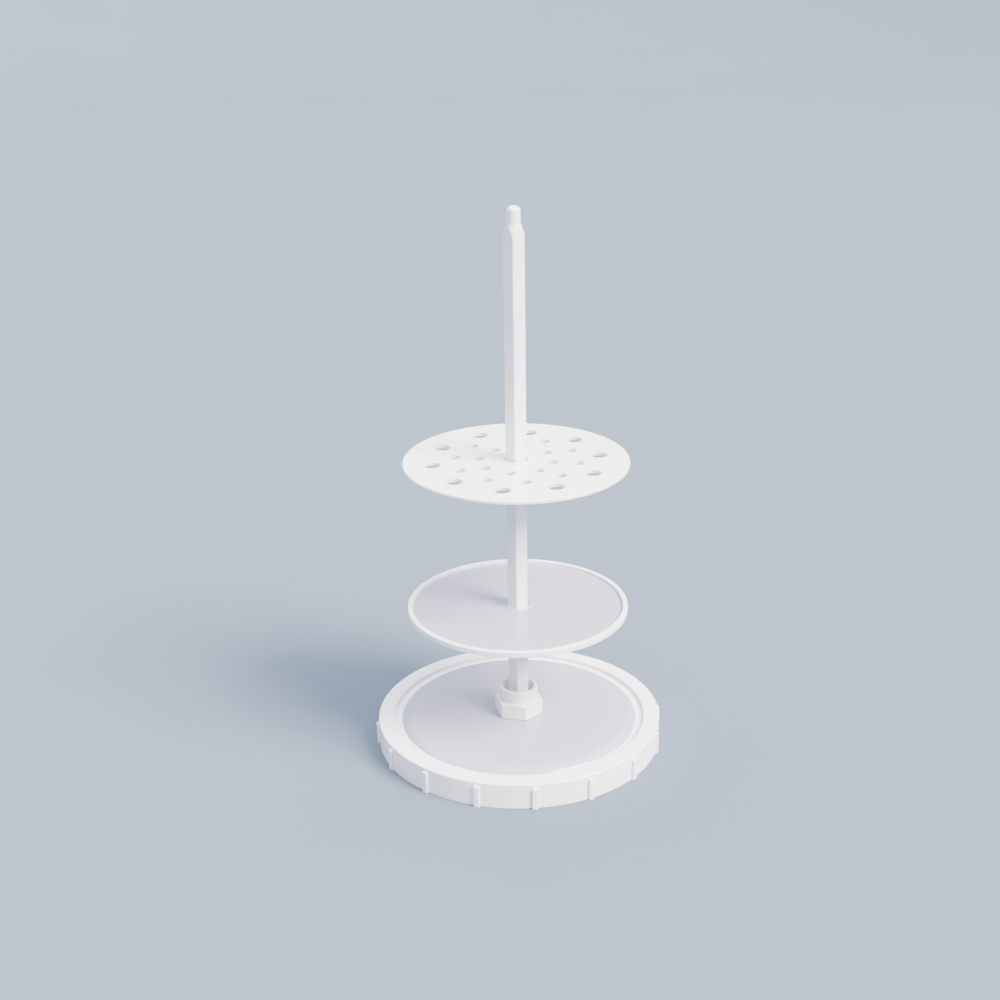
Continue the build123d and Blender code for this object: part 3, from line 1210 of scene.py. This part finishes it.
@dataclass
class HoleDisc(Disc):
    """The perforated disc that the pipettes hang in."""

    top: float = 241.0
    pattern_turn_degrees: float = -4.0
    hole_rings: tuple[HoleRing, ...] = (
        HoleRing(65.5, 6.5, 10, 0.0),
        HoleRing(48.4, 4.5, 10, 18.0),
        HoleRing(29.0, 4.5, 8, 0.0),
    )
    join_radius: float = 20.0
    join_steps: int = 72
    rim_steps: int = 168
    hole_steps: int = 36
    hole_round: float = 0.35

    def circles(self) -> list[tuple[float, float, float, int]]:
        """List the circles that bound the plate.

        Returns:
            Each circle's centre across and along, its radius and its number of facets.
        """
        found = [(0.0, 0.0, self.radius, self.rim_steps), (0.0, 0.0, self.join_radius, self.join_steps)]
        for ring in self.hole_rings:
            first = FRONT + math.radians(self.pattern_turn_degrees + ring.turn_degrees)
            for number in range(ring.count):
                angle = first + math.tau * number / ring.count
                found.append((ring.ring_radius * math.cos(angle), ring.ring_radius * math.sin(angle),
                              ring.hole_radius, self.hole_steps))
        return found

    def plate(self) -> BMesh:
        """Make the perforated plate, open where the hub joins it.

        Returns:
            The plate, with its rim and its holes' edges rounded.
        """
        shape = bmesh.new()
        for across, along, radius, steps in self.circles():
            bmesh.ops.create_circle(shape, cap_ends=False, segments=steps, radius=radius,
                                    matrix=Matrix.Translation((across, along, self.top)) @ Matrix.Rotation(
                                        FRONT, 4, "Z"))
        bmesh.ops.triangle_fill(shape, use_beauty=True, use_dissolve=False, edges=shape.edges[:], normal=AXIS)
        pulled = bmesh.ops.extrude_face_region(shape, geom=shape.faces[:])["geom"]
        bmesh.ops.translate(shape, verts=moved_verts(pulled), vec=(0, 0, -self.thickness))
        bmesh.ops.recalc_face_normals(shape, faces=shape.faces)
        for lowest, highest, width, segments in ((self.radius - 0.5, self.radius + 0.5, self.edge_round, 3),
                                                 (self.join_radius + 0.5, self.radius - 5, self.hole_round, 2)):
            rims = [edge for edge in shape.edges if edge.calc_face_angle(0.0) > math.radians(60)
                    and all(lowest < vert.co.xy.length < highest for vert in edge.verts)]
            bevel_edges(shape, rims, width, segments)
        join_wall = [face for face in shape.faces if abs(face.normal.z) < 0.5
                     and face.calc_center_median().xy.length < self.join_radius + 0.1]
        bmesh.ops.delete(shape, geom=join_wall, context="FACES_ONLY")
        return shape

    def build(self) -> None:
        """Join the plate and the turned hub, and add the gussets."""
        shape = self.plate()
        centre = turned([Corner(self.join_radius, self.top), *self.hub_outline(),
                         Corner(self.join_radius, self.top - self.thickness)], self.join_steps, closed=False)
        centre_mesh = bpy.data.meshes.new("hub")
        centre.to_mesh(centre_mesh)
        centre.free()
        shape.from_mesh(centre_mesh)
        bpy.data.meshes.remove(centre_mesh)
        bmesh.ops.remove_doubles(shape, verts=shape.verts, dist=10 * MERGE_MM)
        bmesh.ops.recalc_face_normals(shape, faces=shape.faces)
        shape = self.add_gussets(shape)
        finish_piece(shape, "upper_hole_disc", Body.UPPER_DISC, self.palette.moulded, "upper_disc")


@dataclass
class LippedDisc(Disc):
    """The plain disc with a raised lip, on which the pipette tips rest."""

    top: float = 117.2
    lip_width: float = 4.0
    lip_height: float = 2.0
    lip_round: float = 0.6
    steps: int = 192

    def build(self) -> None:
        """Turn the disc and add the gussets."""
        lip_inner = self.radius - self.lip_width
        shape = turned([
            Corner(self.radius, self.top + self.lip_height, self.edge_round, 4),
            Corner(lip_inner, self.top + self.lip_height, self.lip_round, 4),
            Corner(lip_inner, self.top, self.lip_round, 4),
            *self.hub_outline(),
            Corner(self.radius, self.top - self.thickness, self.edge_round, 4),
        ], self.steps)
        shape = self.add_gussets(shape)
        finish_piece(shape, "middle_lipped_disc", Body.MIDDLE_DISC, self.palette.tray,
                     "middle_disc")


@dataclass
class GripNut(SubAssembly):
    """The fluted ring nut under a disc, and the grip and slip ring that it works."""

    disc_top: float
    tier: str
    body: Body
    radius: float = 16.0
    top_depth: float = 7.0
    bottom_depth: float = 20.2
    shoulder_depth: float = 19.0
    bore_radius: float = 9.9
    hub_bore: float = 13.28
    flute_count: int = 12
    flute_radius: float = 1.6
    edge_round: float = 0.8
    steps: int = 240

    def sink_flutes(self, shape: BMesh) -> None:
        """Press the finger flutes into the nut's wall.

        Args:
            shape: The turned nut.
        """
        centre_radius = self.radius + self.flute_radius / 2
        pitch = math.tau / self.flute_count
        for vert in shape.verts:
            out = vert.co.xy.length
            if out < self.radius - self.edge_round - 0.1:
                continue
            turn = (math.atan2(vert.co.y, vert.co.x) - FRONT + pitch / 2) % pitch - pitch / 2
            aside = centre_radius * math.sin(turn)
            if abs(aside) < self.flute_radius:
                floor = centre_radius * math.cos(turn) - math.sqrt(self.flute_radius ** 2 - aside ** 2)
                vert.co.xy = vert.co.xy * (min(out, floor) / out)

    def build(self) -> None:
        """Build the nut, and dress the grip and slip ring."""
        low = self.disc_top - self.bottom_depth
        high = self.disc_top - self.top_depth
        shoulder = self.disc_top - self.shoulder_depth
        shape = turned([
            Corner(self.bore_radius, low, 0.3, 2),
            Corner(self.radius, low, self.edge_round, 4),
            Corner(self.radius, high, self.edge_round, 4),
            Corner(self.hub_bore, high, 0.4, 2),
            Corner(self.hub_bore, shoulder, 0.2, 2),
            Corner(self.bore_radius, shoulder, 0.1, 2),
        ], self.steps)
        self.sink_flutes(shape)
        finish_piece(shape, self.tier + "_ring_nut", self.body, self.palette.moulded,
                     self.tier + "_grip_nut")
        self.palette.dress_node(self.tier + "_grip", self.palette.moulded)
        self.palette.dress_node(self.tier + "_slip_ring", self.palette.acetal)


# ---- Studio --------------------------------------------------------------------------------------


@dataclass
class Studio:
    """The paper floor, the lights and the camera."""

    sweep_radius_m: float = 6.0
    sweep_height_m: float = 2.6
    sweep_bend_m: float = 2.0
    sweep_steps: int = 96
    camera_place_mm: tuple[float, float, float] = (108.8, -1158.5, 665.8)
    camera_yaw_degrees: float = 6.0
    camera_pitch: float = 0.375
    camera_roll: float = -0.015
    lens_mm: float = 57.64
    sensor_mm: float = 36.0
    key_colour: str = "FFF8F0"
    key_energy: float = 17.0
    key_spread_degrees: float = 30.0
    key_azimuth_degrees: float = 64.0
    key_height_degrees: float = 42.0
    sky: str = "E6ECF8"
    ceiling_strength: float = 5.8
    horizon_strength: float = 0.12
    ceiling_edge: tuple[float, float] = (0.35, 0.8)

    def build_floor(self) -> None:
        """Lay the paper, flat under the stand and swept up into a plain wall far round it."""
        edge = self.sweep_radius_m / MM
        shape = turned([Corner(0.0, 0.0), Corner(edge, 0.0, self.sweep_bend_m / MM, 20),
                        Corner(edge, self.sweep_height_m / MM)], self.sweep_steps, closed=False)
        to_object(shape, "studio_floor", StudioPaper().material())

    def build_ceiling(self) -> None:
        """Set a ceiling that glows overhead and fades towards the horizon."""
        world = bpy.data.worlds.new("studio_ceiling")
        world.use_nodes = True
        world.node_tree.nodes.clear()
        direction = add_node(world, "TexCoord").outputs["Generated"]
        height = add_node(world, "SeparateXYZ", {"Vector": direction}).outputs["Z"]
        glow = add_node(world, "MapRange", {
            "Value": height, "From Min": self.ceiling_edge[0], "From Max": self.ceiling_edge[1],
            "To Min": self.horizon_strength, "To Max": self.ceiling_strength}, interpolation_type="SMOOTHSTEP")
        sky = add_node(world, "Background", {
            "Color": linear(self.sky), "Strength": glow.outputs["Result"]})
        add_node(world, "OutputWorld", {"Surface": sky.outputs["Background"]})
        bpy.context.scene.world = world

    def build_key(self) -> None:
        """Set the soft key light, high on the right."""
        key = bpy.data.lights.new("key_light", "SUN")
        key.energy = self.key_energy
        key.angle = math.radians(self.key_spread_degrees)
        key.color = linear(self.key_colour)[:3]
        holder = bpy.data.objects.new("key_light", key)
        azimuth = math.radians(self.key_azimuth_degrees)
        height = math.radians(self.key_height_degrees)
        towards = Vector((math.sin(azimuth) * math.cos(height), -math.cos(azimuth) * math.cos(height),
                          math.sin(height)))
        holder.rotation_euler = towards.to_track_quat("Z", "Y").to_euler()
        bpy.context.scene.collection.objects.link(holder)

    def build_camera(self) -> None:
        """Place the camera."""
        data = bpy.data.cameras.new("camera")
        data.lens = self.lens_mm
        data.sensor_width = self.sensor_mm
        camera = bpy.data.objects.new("camera", data)
        camera.matrix_world = (
            Matrix.Translation(Vector(self.camera_place_mm) * MM)
            @ Matrix.Rotation(math.radians(self.camera_yaw_degrees), 4, "Z")
            @ Matrix.Rotation(math.pi / 2 - self.camera_pitch, 4, "X")
            @ Matrix.Rotation(self.camera_roll, 4, "Z")
        )
        bpy.context.scene.collection.objects.link(camera)
        bpy.context.scene.camera = camera

    def build(self) -> None:
        """Build the whole studio."""
        self.build_floor()
        self.build_ceiling()
        self.build_key()
        self.build_camera()
        log.info("studio: floor, ceiling, key light and camera")


def main() -> None:
    """Build every sub-assembly, then the studio."""
    logging.basicConfig(level=logging.INFO, format="%(name)s: %(message)s")
    palette = Palette()
    for part in (BaseShell(palette), BasePlatform(palette), PlatformScrews(palette), SocketFittings(palette),
                 UnionNut(palette), Column(palette), HoleDisc(palette), LippedDisc(palette),
                 GripNut(palette, HoleDisc.top, "upper", Body.UPPER_GRIP_NUT),
                 GripNut(palette, LippedDisc.top, "middle", Body.MIDDLE_GRIP_NUT)):
        part.build()
    Studio().build()


if __name__ == "__main__":
    main()
